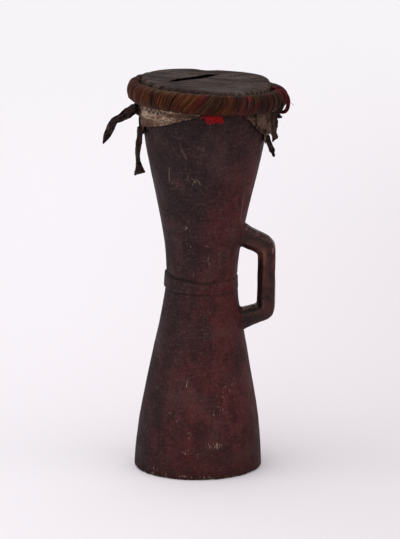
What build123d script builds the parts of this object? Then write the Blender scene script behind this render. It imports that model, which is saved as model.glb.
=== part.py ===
"""Hourglass hand drum: a carved wooden shell with its handle, a reptile-hide head and a strip-bound hoop.

Millimetres and degrees. The pieces are drawn about an upright axis, and then the whole drum leans towards
its handle, as the carved one does. The origin is the centre of the foot, +Z is up and +X is the handle side.
Azimuths turn about +Z from +X, so 180 is the side away from the handle and 270 is the front.
"""

import math
import os

from build123d import *

# Shell: heights along the axis and radii of the wood
BODY_HEIGHT = 541.5
FOOT_RADIUS = 88.5
BELL_HEIGHT = 91.0
BELL_RADIUS = 79.4
FLARE_HEIGHT = 188.0
FLARE_RADIUS = 60.9
WAIST_HEIGHT = 262.0
WAIST_RADIUS = 49.8
SHOULDER_HEIGHT = 359.0
SHOULDER_RADIUS = 60.8
CHEEK_HEIGHT = 460.0
CHEEK_RADIUS = 82.3
RIM_RADIUS = 87.2
LEAN = 1.4
RIM_SLANT = 2.7
RIM_ROUND = 4.0
FOOT_ROUND = 3.0

# Walls left when the log is hollowed from both ends
WALL_FOOT = 13.0
WALL_WAIST = 18.0
WALL_RIM = 9.5

# Collar carved in relief round the waist, proudest on the side away from the handle
COLLAR_WIDTH = 16.0
COLLAR_PROUD = 2.6
COLLAR_SHIFT = 0.8
COLLAR_EDGE = 1.0

# Handle carved from the same log: the arms' edges at the root, and their corners out by the grip
HANDLE_AZIMUTH = -6.0
HANDLE_ROOT = 58.5
HANDLE_REACH = 101.8
HANDLE_WIDTH = 26.0
GRIP_DEPTH = 25.0
HANDLE_TOP = 344.5
HANDLE_UPPER_CORNER = 324.0
HANDLE_LOWER_CORNER = 216.0
HANDLE_BOTTOM = 196.5
GAP_TOP = 311.5
GAP_UPPER_CORNER = 304.0
GAP_LOWER_CORNER = 233.5
GAP_BOTTOM = 228.0
HANDLE_UPPER_ROUND = 26.0
HANDLE_LOWER_ROUND = 21.0
GAP_ROUND = 4.0
HANDLE_EDGE_ROUND = 6.0
GAP_BEVEL = 8.0

# Hide head: its turned-down edge, with depths of the hem below the rim along the front and the back
SKIN_THICKNESS = 1.2
SKIN_GAP = 0.3
TEAR_LENGTH = 104.0
TEAR_WIDTH = 6.0
TEAR_X = -18.0
TEAR_Y = 15.0
TEAR_ANGLE = 50.0
HEM_LEFT = 72.0
HEM_RIGHT = 84.0
TONGUE_LEFT = (-83.5, 71.0)
TONGUE_RIGHT = (80.0, 78.0)
FRONT_HEM = [(-81.0, 58.0), (-62.0, 52.0), (-4.5, 29.5), (42.0, 29.5), (56.0, 45.0), (77.0, 66.0)]
BACK_HEM = [(-80.0, 48.0), (10.0, 52.0), (60.0, 44.0)]

# Loose flap of hide outside the hem: distance from the axis, azimuths and its edge seen from the front
FLAP_DISTANCE = 96.5
FLAP_START = 318.0
FLAP_END = 357.0
FLAP_DROP = 32.0
FLAP_EDGE = [(70.0, 51.0), (84.0, 55.0), (91.0, 62.0), (94.5, 74.0), (97.0, 69.0)]

# Cane hoop and the strips wound round it
HOOP_DROP = 15.5
HOOP_SLANT = 2.0
HOOP_DEPTH = 17.0
HOOP_TALL = 21.0
HOOP_GAP = 0.4
STRIP_THICKNESS = 2.0
STRIP_EDGE = 1.3
STRIP_LIFT = 0.9
STRIP_SPACING = 0.5
TURN_COUNT = 24
FIRST_AZIMUTH = 165.0
STEP_COUNT = 12
CUT_STEP = 0.1
SLACK = 3.0
SLACK_AZIMUTH = 357.0
SLACK_SPAN = 24.0

# Limbs and tail of the hide left hanging: rounded roots, then distance out, distance down and width
LIMB_GAP = 0.3
NECK_SHARE = 0.9
FLAT_SHARE = 0.9
UPPER_LIMB_AZIMUTH = 176.0
UPPER_LIMB_DROP = 38.5
UPPER_LIMB_ROOT = 6.5
UPPER_LIMB_THICKNESS = 7.0
UPPER_LIMB_ARM = [(15.0, 10.0, 10.5), (29.0, 18.5, 10.5)]
UPPER_LIMB_PATH = UPPER_LIMB_ARM + [(35.5, 32.0, 11.5), (41.5, 43.0, 8.0), (44.0, 51.0, 3.0)]
LOWER_LIMB_AZIMUTH = 191.0
LOWER_LIMB_DROP = 68.0
LOWER_LIMB_ROOT = 4.5
LOWER_LIMB_THICKNESS = 6.0
LOWER_LIMB_LEG = [(2.5, 15.0, 8.5), (4.5, 30.0, 7.0), (4.0, 43.0, 8.5)]
LOWER_LIMB_PATH = LOWER_LIMB_LEG + [(3.0, 54.0, 14.0), (2.5, 62.0, 9.5)]
TAIL_AZIMUTH = 345.0
TAIL_DROP = 75.5
TAIL_ROOT = 4.0
TAIL_THICKNESS = 5.0
TAIL_PATH = [(3.5, 8.0, 7.5), (6.0, 14.0, 7.5), (8.5, 21.0, 3.5)]

# Tuft of red yarn under the hoop, and the thread that laces the hem
TUFT_AZIMUTH = 278.0
TUFT_DROP = 28.6
TUFT_WIDTH = 26.0
TUFT_TALL = 14.0
TUFT_DEPTH = 5.0
TUFT_END_COUNT = 5
LACING_THREAD = 1.2
LACING_START = 203.0
LACING_END = 228.0
LACING_DROP = 31.0
LACING_RISE = 6.0
LACING_STROKE_COUNT = 8

# Wood drawn past the foot and the rim, for the slanted cuts
TRIM = FOOT_RADIUS * math.tan(math.radians(LEAN + RIM_SLANT)) + 2.0
WALL_BELL = (WALL_FOOT + WALL_WAIST) / 2
WALL_CHEEK = (WALL_WAIST + WALL_RIM) / 2
OUTSIDE = [
    (FOOT_RADIUS, -TRIM),
    (BELL_RADIUS, BELL_HEIGHT),
    (FLARE_RADIUS, FLARE_HEIGHT),
    (WAIST_RADIUS, WAIST_HEIGHT),
    (SHOULDER_RADIUS, SHOULDER_HEIGHT),
    (CHEEK_RADIUS, CHEEK_HEIGHT),
    (RIM_RADIUS, BODY_HEIGHT + TRIM),
]
WALLS = [WALL_FOOT, WALL_BELL, WALL_WAIST, WALL_WAIST, WALL_WAIST, WALL_CHEEK, WALL_RIM]
BORE = [(radius - wall, height) for (radius, height), wall in zip(OUTSIDE, WALLS)]

SKIN_GROWTH = SKIN_GAP + SKIN_THICKNESS
CUT_REACH = 4 * SKIN_GROWTH
STRIP_HEIGHT = STRIP_LIFT + STRIP_THICKNESS
HOOP_RADIUS = RIM_RADIUS + SKIN_GROWTH + HOOP_GAP + STRIP_HEIGHT + HOOP_DEPTH / 2
RIM_PLANE = Plane(
    origin=(0, 0, BODY_HEIGHT),
    x_dir=(math.cos(math.radians(RIM_SLANT)), 0, -math.sin(math.radians(RIM_SLANT))),
    z_dir=(math.sin(math.radians(RIM_SLANT)), 0, math.cos(math.radians(RIM_SLANT))),
)
FOOT_PLANE = Plane(
    origin=(0, 0, 0),
    z_dir=(-math.sin(math.radians(LEAN)), 0, math.cos(math.radians(LEAN))),
)


def outline(stations, growth=0.0):
    """Smooth edge through (radius, height) stations, moved out from the axis by growth."""
    points = [(radius + growth, 0, height) for radius, height in stations]
    return Spline(*points, tangents=((0, 0, 1), (0, 0, 1)))


def turned(stations, growth=0.0):
    """Solid of revolution inside that edge."""
    edge = outline(stations, growth)
    low = edge @ 0
    high = edge @ 1
    rest = Polyline(low, (0, 0, low.Z), (0, 0, high.Z), high)
    return revolve(make_face([edge, rest]), Axis.Z)


def radius_at(height):
    """Radius of the wood at a height along the axis."""
    return outline(OUTSIDE).intersect(Plane((0, 0, height)))[0].X


def capped(growth=0.0):
    """Outside of the drum grown by that much, cut along the slanted rim with its edge rounded."""
    block = split(turned(OUTSIDE, growth), bisect_by=RIM_PLANE.offset(growth), keep=Keep.BOTTOM)
    top = block.faces().sort_by(Axis.Z)[-1]
    return fillet(top.edges(), RIM_ROUND + growth)


def arm_height(distance, root_height, corner_height, corner_distance):
    """Height of an arm's straight edge, which runs through its root and its corner."""
    slope = (root_height - corner_height) / (corner_distance - HANDLE_ROOT)
    return corner_height + slope * (corner_distance - distance)


def arm_face(buried, distance, heights, rounds):
    """Side view of the handle, or of its hand gap, from inside the wall out to a distance from the axis."""
    top, upper_corner, lower_corner, bottom = heights
    upper = (distance, upper_corner)
    lower = (distance, lower_corner)
    start = (buried, arm_height(buried, top, upper_corner, distance))
    end = (buried, arm_height(buried, bottom, lower_corner, distance))
    face = make_face(Polyline(start, upper, lower, end, close=True))
    for corner, rounding in zip((upper, lower), rounds):
        face = fillet(face.vertices().sort_by_distance(corner)[0], rounding)
    return face


def handle():
    """Handle with its outer edges rounded and the edges of the hand gap bevelled from both sides."""
    buried = WAIST_RADIUS - WALL_WAIST / 2
    grip_inside = HANDLE_REACH - GRIP_DEPTH
    outside = (HANDLE_TOP, HANDLE_UPPER_CORNER, HANDLE_LOWER_CORNER, HANDLE_BOTTOM)
    gap = (GAP_TOP, GAP_UPPER_CORNER, GAP_LOWER_CORNER, GAP_BOTTOM)
    face = arm_face(buried, HANDLE_REACH, outside, (HANDLE_UPPER_ROUND, HANDLE_LOWER_ROUND))
    face -= arm_face(buried, grip_inside, gap, (GAP_ROUND, GAP_ROUND))
    blank = extrude(Plane.XZ * face, HANDLE_WIDTH / 2, both=True)
    outer_edges = []
    gap_edges = []
    for edge in blank.edges():
        centre = edge.center()
        if abs(abs(centre.Y) - HANDLE_WIDTH / 2) > 0.01 or centre.X < buried + 0.01:
            continue
        in_gap = (GAP_BOTTOM + HANDLE_BOTTOM) / 2 < centre.Z < (GAP_TOP + HANDLE_TOP) / 2
        if in_gap and centre.X < grip_inside + 0.01:
            gap_edges.append(edge)
        else:
            outer_edges.append(edge)
    blank = chamfer(gap_edges, GAP_BEVEL)
    outer_edges = [blank.edges().sort_by_distance(edge.center())[0] for edge in outer_edges]
    return Rot(0, 0, HANDLE_AZIMUTH) * fillet(outer_edges, HANDLE_EDGE_ROUND)


def collar():
    """Raised band round the waist, off centre as it was carved."""
    band = Cylinder(WAIST_RADIUS + COLLAR_PROUD, COLLAR_WIDTH)
    band = fillet(band.edges().filter_by(GeomType.CIRCLE), COLLAR_EDGE)
    return Pos(-COLLAR_SHIFT, 0, WAIST_HEIGHT) * band


def shell():
    """Shell, collar and handle, carved from one log and hollowed right through."""
    wood = capped() + collar() + handle()
    wood -= turned(BORE)
    wood = split(wood, bisect_by=FOOT_PLANE, keep=Keep.TOP)
    foot = wood.faces().sort_by(Axis.Z)[0]
    return fillet(foot.outer_wire().edges(), FOOT_ROUND)


def below_hem(points, side):
    """Region under one half of the hem, seen from the front and run out to that side."""
    reach = RIM_RADIUS + CUT_REACH
    hem = [(-reach, HEM_LEFT), TONGUE_LEFT] + points + [TONGUE_RIGHT, (reach, HEM_RIGHT)]
    line = [(x, BODY_HEIGHT - depth) for x, depth in hem]
    face = make_face(Polyline(*line, (reach, -2 * TRIM), (-reach, -2 * TRIM), close=True))
    return extrude(Plane.XZ * face, amount=-side * reach)


def tear():
    """Lens-shaped split right through the head."""
    ends = ((-TEAR_LENGTH / 2, 0), (TEAR_LENGTH / 2, 0))
    sides = [ThreePointArc(ends[0], (0, way * TEAR_WIDTH / 2), ends[1]) for way in (1, -1)]
    lens = Pos(TEAR_X, TEAR_Y) * Rot(0, 0, TEAR_ANGLE) * make_face(sides)
    return extrude(RIM_PLANE * lens, CUT_REACH, both=True)


def skin():
    """Head stretched over the rim, its edge turned down the outside of the shell to a cut hem."""
    hide = capped(SKIN_GROWTH) - capped(SKIN_GAP)
    return hide - below_hem(FRONT_HEM, -1) - below_hem(BACK_HEM, 1) - tear()


def flap():
    """Flap of hide that hangs under the hoop outside the hem, down to a torn point."""
    top = BODY_HEIGHT - FLAP_DROP
    lowest = max(depth for _, depth in FLAP_EDGE)
    far = FLAP_DISTANCE + 4 * SKIN_THICKNESS
    sheet = Pos(FLAP_DISTANCE + SKIN_THICKNESS / 2, top) * Rectangle(SKIN_THICKNESS, 2 * lowest)
    curved = revolve(Plane.XZ * sheet, Axis.Z, revolution_arc=FLAP_END - FLAP_START)
    edge = [(x, BODY_HEIGHT - depth) for x, depth in FLAP_EDGE]
    view = make_face(Polyline((FLAP_EDGE[0][0], top), *edge, (far, edge[-1][1]), (far, top), close=True))
    return (Rot(0, 0, FLAP_START) * curved) & extrude(Plane.XZ * view, amount=far)


def on_hoop(shape):
    """Move a shape drawn about the hoop's own axis to the hoop's place under the rim."""
    return Pos(0, 0, BODY_HEIGHT - HOOP_DROP) * Rot(0, HOOP_SLANT, 0) * shape


def hoop():
    """Cane hoop, oval in section."""
    section = Plane.XZ * (Pos(HOOP_RADIUS, 0) * Ellipse(HOOP_DEPTH / 2, HOOP_TALL / 2))
    return on_hoop(revolve(section, Axis.Z))


def ribbon_corners(step):
    """Six corners of a strip's section after so many steps round the hoop, in one plane."""
    around = math.radians(180 + 360 * step / STEP_COUNT)
    azimuth = math.radians(FIRST_AZIMUTH + 360 / TURN_COUNT * step / STEP_COUNT)
    half = math.radians(360 / TURN_COUNT - STRIP_SPACING) / 2
    off_slack = (math.degrees(azimuth) - SLACK_AZIMUTH + 180) % 360 - 180
    slack = SLACK * max(0, math.cos(around)) * max(0, 1 - (off_slack / SLACK_SPAN) ** 2)
    out = Vector(math.cos(azimuth), math.sin(azimuth), 0)
    along = Vector(-math.sin(azimuth), math.cos(azimuth), 0)
    base_out = HOOP_RADIUS + HOOP_DEPTH / 2 * math.cos(around)
    base_rise = HOOP_TALL / 2 * math.sin(around)
    facing = Vector(HOOP_TALL * math.cos(around), HOOP_DEPTH * math.sin(around)).normalized()
    edge_height = STRIP_LIFT + STRIP_EDGE
    rows = [(-1, STRIP_LIFT), (0, STRIP_LIFT), (1, STRIP_LIFT)]
    rows += [(1, edge_height), (0, STRIP_HEIGHT), (-1, edge_height)]
    corners = []
    for side, lift in rows:
        reach = base_out + facing.X * (lift + slack)
        height = lift + slack - reach * (1 - math.cos(side * half)) * facing.X
        corner = out * (base_out + facing.X * height) + along * (reach * math.sin(side * half))
        corners.append(corner + Vector(0, 0, base_rise + facing.Y * height))
    return corners


def strip(first_turn, last_turn):
    """One strip wound round the hoop: an unbroken ribbon, cut at both ends on the inside of the hoop."""
    start = first_turn * STEP_COUNT
    end = last_turn * STEP_COUNT
    steps = [start + CUT_STEP] + list(range(start + 1, end)) + [end - CUT_STEP]
    sections = [Wire.make_polygon(ribbon_corners(step), close=True) for step in steps]
    return on_hoop(Solid.make_loft(sections, ruled=True))


def least_gap(first_turn, last_turn):
    """Least distance between neighbouring turns of a strip, measured on points along their edges."""
    corners = [ribbon_corners(step) for step in range(first_turn * STEP_COUNT, last_turn * STEP_COUNT + 1)]
    parts = 4
    points = []
    for near, far in zip(corners, corners[1:]):
        for part in range(parts):
            points.append([a + (b - a) * (part / parts) for a, b in zip(near, far)])
    turn = STEP_COUNT * parts
    least = math.inf
    for index in range(len(points) - turn):
        for other in points[max(index + turn - STEP_COUNT, 0):index + turn + STEP_COUNT]:
            for ahead in points[index][2:4]:
                least = min(least, (ahead - other[0]).length, (ahead - other[5]).length)
    return least


def hanging_place(drop, root):
    """Distance from the axis and height of a root that hangs just clear of the hide."""
    height = BODY_HEIGHT - drop
    slope = (radius_at(height + root) - radius_at(height - root)) / (2 * root)
    distance = radius_at(height) + SKIN_GROWTH + (root + LIMB_GAP) * math.hypot(1, slope)
    return distance, height


def limb(azimuth, drop, root, thickness, path):
    """Dried limb of the hide: a round root to turn on, then the limb through its path."""
    distance, height = hanging_place(drop, root)
    places = [(0, 0, 2 * NECK_SHARE * root)] + path
    sections = []
    for index, (out, down, width) in enumerate(places):
        before = places[max(index - 1, 0)]
        after = places[min(index + 1, len(places) - 1)]
        run = Vector(after[0] - before[0], 0, before[1] - after[1])
        plane = Plane((distance + out, 0, height - down), x_dir=run.cross(Vector(0, 1, 0)), z_dir=run)
        sections.append(plane * Ellipse(width / 2, FLAT_SHARE * min(thickness, width) / 2))
    knuckle = Pos(distance, 0, height) * Rot(90, 0, 0) * Cylinder(root, thickness)
    return Rot(0, 0, azimuth) * (knuckle + loft(sections))


def tuft():
    """Tuft of yarn ends under the hoop, lying against the hem."""
    height = BODY_HEIGHT - TUFT_DROP
    distance = radius_at(height) + SKIN_GROWTH + LIMB_GAP
    pitch = TUFT_WIDTH / TUFT_END_COUNT
    points = [(-TUFT_WIDTH / 2, 0)]
    for end in range(TUFT_END_COUNT):
        side = -TUFT_WIDTH / 2 + end * pitch
        tip = TUFT_TALL * (1 - 0.3 * abs(2 * end / (TUFT_END_COUNT - 1) - 1))
        points += [(side, -0.5 * tip), (side + 0.3 * pitch, -tip), (side + 0.7 * pitch, -tip)]
    points += [(TUFT_WIDTH / 2, -0.3 * TUFT_TALL), (TUFT_WIDTH / 2, 0)]
    plane = Plane((distance, 0, height), x_dir=(0, 1, 0), z_dir=(1, 0, 0))
    return Rot(0, 0, TUFT_AZIMUTH) * extrude(plane * make_face(Polyline(*points, close=True)), TUFT_DEPTH)


def lacing():
    """Thread that zigzags along the hide under the hoop."""
    points = []
    for stroke in range(LACING_STROKE_COUNT + 1):
        azimuth = math.radians(LACING_START + (LACING_END - LACING_START) * stroke / LACING_STROKE_COUNT)
        height = BODY_HEIGHT - LACING_DROP + LACING_RISE * (stroke % 2 - 0.5)
        distance = radius_at(height) + SKIN_GROWTH + LIMB_GAP + LACING_THREAD / 2
        points.append(Vector(distance * math.cos(azimuth), distance * math.sin(azimuth), height))
    path = Polyline(*points)
    section = Plane(path @ 0, z_dir=path % 0) * Circle(LACING_THREAD / 2)
    return sweep(section, path, transition=Transition.ROUND)


def save(name, shape):
    """Lean the piece with the rest of the drum and write its file."""
    export_step(Rot(0, LEAN, 0) * shape, f"parts/{name}.step")


STRIPS = {
    "binding_left": (0, 6),
    "binding_front": (6, 10),
    "binding_right": (10, 14),
    "binding_back_right": (14, 19),
    "binding_back_left": (19, 24),
}

if __name__ == "__main__":
    os.makedirs("parts", exist_ok=True)
    save("drum_shell", shell())
    save("drumhead_skin", skin())
    save("cane_hoop", hoop())
    for strip_name, (first, last) in STRIPS.items():
        save(strip_name, strip(first, last))
        print(f"{strip_name}: least gap to itself {least_gap(first, last):.2f} mm")
    save("hide_limb_upper", limb(
        UPPER_LIMB_AZIMUTH, UPPER_LIMB_DROP, UPPER_LIMB_ROOT, UPPER_LIMB_THICKNESS, UPPER_LIMB_PATH))
    save("hide_limb_lower", limb(
        LOWER_LIMB_AZIMUTH, LOWER_LIMB_DROP, LOWER_LIMB_ROOT, LOWER_LIMB_THICKNESS, LOWER_LIMB_PATH))
    save("hide_tail", limb(TAIL_AZIMUTH, TAIL_DROP, TAIL_ROOT, TAIL_THICKNESS, TAIL_PATH))
    save("hide_flap", flap())
    save("red_yarn_tuft", tuft())
    save("lacing_thread", lacing())
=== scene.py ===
import math
import random

import bmesh
import bpy
import numpy as np
from mathutils import Matrix, Vector, noise
from mathutils.bvhtree import BVHTree
from mathutils.geometry import delaunay_2d_cdt


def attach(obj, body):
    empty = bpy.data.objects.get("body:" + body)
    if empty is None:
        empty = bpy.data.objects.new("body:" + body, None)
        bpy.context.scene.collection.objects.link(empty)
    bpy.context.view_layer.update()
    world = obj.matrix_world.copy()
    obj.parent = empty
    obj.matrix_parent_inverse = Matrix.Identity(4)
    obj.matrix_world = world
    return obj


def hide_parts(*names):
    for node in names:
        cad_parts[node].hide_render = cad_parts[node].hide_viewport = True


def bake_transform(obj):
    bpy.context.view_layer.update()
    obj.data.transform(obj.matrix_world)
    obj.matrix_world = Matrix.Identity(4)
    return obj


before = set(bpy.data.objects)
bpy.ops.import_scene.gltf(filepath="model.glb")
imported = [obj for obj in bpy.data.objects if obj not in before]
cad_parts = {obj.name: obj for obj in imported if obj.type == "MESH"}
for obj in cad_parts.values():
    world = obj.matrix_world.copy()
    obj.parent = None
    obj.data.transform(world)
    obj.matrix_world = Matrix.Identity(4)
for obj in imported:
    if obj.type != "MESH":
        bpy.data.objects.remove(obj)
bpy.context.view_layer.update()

# Sizes in millimetres and angles in degrees, about the drum's own leaning axis
LEAN = math.radians(1.4)
BODY_HEIGHT = 541.5
RIM_RADIUS = 87.2
RIM_SLOPE = math.tan(math.radians(2.7))

# Handle: the lines of its hand gap and its outside as distance and height, and the bevels cut along them
HANDLE_AZIMUTH = 354.0
HANDLE_WIDTH = 26.0
GAP_LINE = [(52.0, 312.6), (76.8, 304.0), (76.8, 233.5), (52.0, 226.0)]
OUTER_LINE = [(58.5, 344.5), (101.8, 324.0), (101.8, 216.0), (58.5, 196.5)]
GAP_BEVEL = 9.5
OUTER_BEVEL = 7.0
HANDLE_SIDE = 20.0
HANDLE_SPAN = (180.0, 360.0)

# Raised collar at the waist: its foot, and its top by azimuth
COLLAR_FOOT = 254.0
COLLAR_TOP = [(0, 272.0), (90, 272.0), (180, 276.5), (225, 270.0), (275, 267.0), (320, 269.5), (360, 272.0)]

# Scratches on the wood as azimuth and height of both ends
SCRATCHES = [
    ((244.8, 470.5), (251.8, 447.7)), ((243.8, 453.7), (244.8, 449.2)), ((231.2, 431.5), (229.1, 412.9)),
    ((252.3, 423.9), (253.3, 417.5)), ((249.5, 418.2), (254.5, 417.3)), ((261.7, 419.9), (266.3, 412.1)),
    ((267.8, 460.1), (270.9, 480.9)), ((278.3, 304.9), (281.3, 295.4)), ((324.0, 393.0), (329.0, 356.0)),
]

# Patches of nicks as azimuth, height, spread round the wood, spread up and down, and strength
NICKS = [
    (232, 408, 6, 7, 0.7), (258, 417, 7, 5, 0.9), (246, 347, 6, 5, 0.9), (284, 48, 10, 6, 1.0),
    (262, 64, 3, 7, 0.8), (291, 100, 12, 24, 0.5), (240, 90, 4, 4, 0.8), (248, 84, 4, 4, 0.8),
    (262, 38, 14, 6, 0.7), (250, 330, 6, 34, 0.5), (256, 134, 3, 8, 0.7), (300, 125, 13, 18, 0.5),
    (262, 5, 26, 3, 0.9), (228, 10, 6, 4, 0.8), (270, 250, 50, 130, 0.25), (60, 300, 60, 200, 0.3),
    (150, 300, 60, 200, 0.3),
]
# Pale colour of bare wood, also used for the painted glints on the handle
BARE_WOOD_AND_GLINT = (0.30, 0.215, 0.165)

# Hide head: edge round, hem seen from the front and from behind as x and depth below the rim, and its tear
SKIN_GROWTH = 1.5
SKIN_THICKNESS = 1.0
SKIN_ROUND = 5.5
HEM_RADIUS = 86.0
FRONT_HEM = [
    (-94, 72), (-83.5, 71), (-81, 58), (-62, 52), (-4.5, 29.5), (46, 29.5),
    (52, 35), (63, 48), (78.5, 66), (80, 78), (94, 84),
]
BACK_HEM = [(-94, 72), (-83.5, 71), (-80, 48), (10, 52), (60, 44), (80, 78), (94, 84)]
TEAR_CENTRE = (-18.0, 15.0)
TEAR_LENGTH = 118.0
TEAR_WIDTH = 6.5
TEAR_ANGLE = math.radians(50)
SKIN_COLUMNS = 360
SKIN_ROWS = 46
ARC_ROWS = 7

# Loose flap: distance, depth of its top below the rim, and its torn edge as x and depth
FLAP_DISTANCE = 97.0
FLAP_TOP = 29.0
FLAP_HEM = [(69, 50), (78, 53), (82, 56), (88, 64), (91.5, 77), (94, 69), (97, 60)]

# Hoop and the turns wound round it, by the azimuth of each turn's lower edge on the outside
HOOP_DROP = 15.5
HOOP_SLANT = math.radians(2.0)
HOOP_RADIUS = 100.5
HOOP_DEPTH = 17.0
HOOP_TALL = 21.0
TURN_EDGES = [
    172, 180, 187, 195, 203.4, 213.7, 220.6, 227, 234.5, 244, 254,
    259.8, 265.6, 273, 281, 288.5, 293.8, 298.5, 303.9, 311,
    318.3, 325.1, 331, 336.6, 344, 352, 361,
    371, 382, 394, 405, 416, 427, 438,
    449, 461, 472, 482, 494, 507, 520,
]
TURN_TONES = """
    brown salmon rust rust salmon rust tan brown tan rust tan
    wine olive brown rust dark mauve red olive dark
    mauve olive dark wine red wine wine
    olive brown tan olive rust brown olive
    red brown tan olive rust brown tan
""".split()
TONES = {
    "rust": (0.062, 0.0165, 0.0068), "salmon": (0.070, 0.0205, 0.0105), "brown": (0.050, 0.0140, 0.0060),
    "tan": (0.078, 0.0225, 0.0070), "wine": (0.074, 0.0070, 0.0082), "olive": (0.050, 0.0195, 0.0092),
    "dark": (0.032, 0.0105, 0.0062), "mauve": (0.052, 0.0150, 0.0125), "red": (0.095, 0.0085, 0.0090),
}
STRIPS = {
    "strip_left": ("binding_left", 0, 11, "tan_strip"),
    "strip_front": ("binding_front", 11, 20, "olive_strip"),
    "strip_right": ("binding_right", 20, 27, "red_strip"),
    "strip_back_right": ("binding_back_right", 27, 34, "olive_strip"),
    "strip_back_left": ("binding_back_left", 34, 41, "tan_strip"),
}
ROPY_BEFORE = 5
ROPY_AFTER = 19
FADED_TURN = 11

# Patches on the ring, of the cloth's own colour and of painted light: azimuth, tilt round its section, both
# spreads, tone and strength
# The pale patch at 236 on the ring's top is a painted highlight, the dark one at 252 on its underside painted
# shade, and the narrow dark ones at 228 and 243 painted shadow between turns
BLOOMS = [
    (287, -35, 7, 28, (0.100, 0.0300, 0.0130), 0.75), (278, 25, 9, 30, (0.030, 0.0210, 0.0155), 0.6),
    (257, 10, 5, 40, (0.088, 0.0340, 0.0120), 0.7), (243, 0, 3.5, 60, (0.018, 0.0095, 0.0065), 0.65),
    (228, 0, 3, 60, (0.017, 0.0090, 0.0065), 0.7), (236, 72, 16, 16, (0.130, 0.0740, 0.0440), 0.6),
    (302, 10, 4, 50, (0.035, 0.0255, 0.0215), 0.7), (308, -5, 2.2, 30, (0.075, 0.0080, 0.0090), 0.8),
    (252, -60, 20, 18, (0.024, 0.0115, 0.0070), 0.5),
]
TURN_STEPS = 44
STRIP_ACROSS = 27

# Small dried ends: azimuth, distance, drop, places as out, down, sideways, width, thickness and roll, and seed
DRIED_BITS = [
    ("root_knot", 177, 93.5, 40, [
        (-3, -3, -3, 4, 4, 0), (0, -2, -1, 7, 5, 40), (2.5, 1, 2, 8, 6, 80), (1, 5, 3, 7, 5, 120),
        (-3, 8, 2, 5, 4, 150),
    ], 81),
    ("edge_fold", 184, 86.0, 30, [
        (3.4, -1, 0, 6, 4, 60), (3.8, 8, -1, 5.5, 4, 75), (3.6, 16, 1, 5, 3.5, 95), (3.2, 26, 0, 5.5, 4, 70),
        (2.8, 36, 1, 5, 3.5, 60),
    ], 83),
    ("hem_knot", 194, 83.5, 66.5, [
        (2.6, -3, -5, 5, 4, 0), (4.2, -1, -2, 7, 6, 20), (4.0, 1, 3, 6, 5, 45), (3.2, -0.5, 9, 4.5, 3.6, 70),
        (3.0, 1, 14, 2.5, 2.2, 60),
    ], 85),
    ("flap_scrap", 353, 97.0, 42, [
        (-1, -3, 0, 6, 4, 0), (2, 0, 0, 7.5, 4.5, 30), (5, 2.5, 1, 6.5, 4, 60), (8, 3.5, 1, 3.5, 3, 80),
    ], 87),
]

# Limbs and tail: body, node, azimuth, drop, root, places as above, ends of the neck, seed and slant of the tip
LIMB_GAP = 0.3
LIMBS = [
    ("limb_upper", "upper_limb", "hide_limb_upper", 176, 38.5, 6.5, [
        (-1, -5, 0, 8, 5, 30), (0, 0, 0, 14.5, 7, 10), (7.5, 7.5, 0, 14.5, 4.5, -15),
        (14.5, 12.2, 0, 13.8, 4, -5), (22, 16.8, 1, 12, 4, 15), (28.5, 20.0, 1, 11.5, 4.5, 25),
        (32.5, 25.5, 0, 11.5, 4.5, 15), (36, 33, 0, 11.5, 4, 5), (40.5, 43, 0, 9, 4, -10), (45, 53, 0, 2, 2, -15),
    ], [(-1, -4), (5, 5)], 51, 0.0),
    ("limb_lower", "lower_limb", "hide_limb_lower", 191, 68, 4.5, [
        (1, -7, 3, 7, 5, 0), (0, 0, 1, 9, 6.5, 10), (0.6, 8, 0, 8.5, 4.5, 15), (1.6, 15, 0, 9, 3.5, 5),
        (2.6, 30, 0, 6.5, 4, -15), (1.6, 42, 0, 6.5, 4, -5), (0, 51, 0, 11, 3.5, 5), (-0.8, 59, 0, 16.5, 2.2, 0),
    ], [(0, -3), (0.5, 5)], 57, 2.4),
    ("tail_end", "tail", "hide_tail", 345, 75.5, 4, [
        (-1.5, -6, -1, 8, 3.5, 0), (0, 0, 0, 8, 4.5, 10), (3.5, 8, 0, 8, 3.5, 0), (6, 14, 0, 8, 3, 10),
        (7.3, 17.5, 0, 4.5, 3, 20), (8.5, 20.5, 0, 4.6, 3.4, 30), (10.2, 21.5, 0, 3, 2.6, 40),
    ], [(-0.5, -3), (1, 4)], 63, 0.0),
]

# Loose loops of cloth at the right of the ring
LOOSE_LOOP_AZIMUTH = 357
SECOND_LOOP_AZIMUTH = 343
LOOSE_LOOP = [
    (-10, -13.5, -4, 3, 6, 20), (-4, -13.2, -4, 4, 9, 20), (3, -10.8, -5, 4.8, 12, 15), (9.4, -5.2, -6, 5, 13, 10),
    (12.2, 1.5, -6, 5.2, 13, 10), (12.4, 9, -5, 5, 11, 10), (10.8, 15.5, -4, 4.6, 9, 15), (7, 19.4, -3, 4, 7, 20),
    (1.5, 19.8, -3, 3.6, 6, 20), (-4, 16.6, -4, 2.4, 6, 20),
]

# Knots of red yarn as azimuth and spread, and the lacing's strokes
YARN_KNOTS = [(272.5, 2.4), (276, 3.0), (280.5, 2.2)]
YARN_ENDS = 190
LACING_START = 203
LACING_SWEEP = 25
LACING_STROKES = 8

# Camera of the photograph
CAMERA_PLACE = (0.004, -5.738, 1.595)
CAMERA_PITCH = math.radians(12.93)
CAMERA_ROLL = math.radians(-0.2)
CAMERA_LENS = 285.0


def tilted(points, angle):
    """Points leaned by an angle from upright towards the handle."""
    points = np.asarray(points, float).reshape(-1, 3)
    x = points[:, 0] * math.cos(angle) + points[:, 2] * math.sin(angle)
    z = points[:, 2] * math.cos(angle) - points[:, 0] * math.sin(angle)
    return np.column_stack([x, points[:, 1], z])


def to_row(points):
    """Millimetres about the drum's own axis, as metres in the row frame."""
    return tilted(points, LEAN) / 1000


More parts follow.
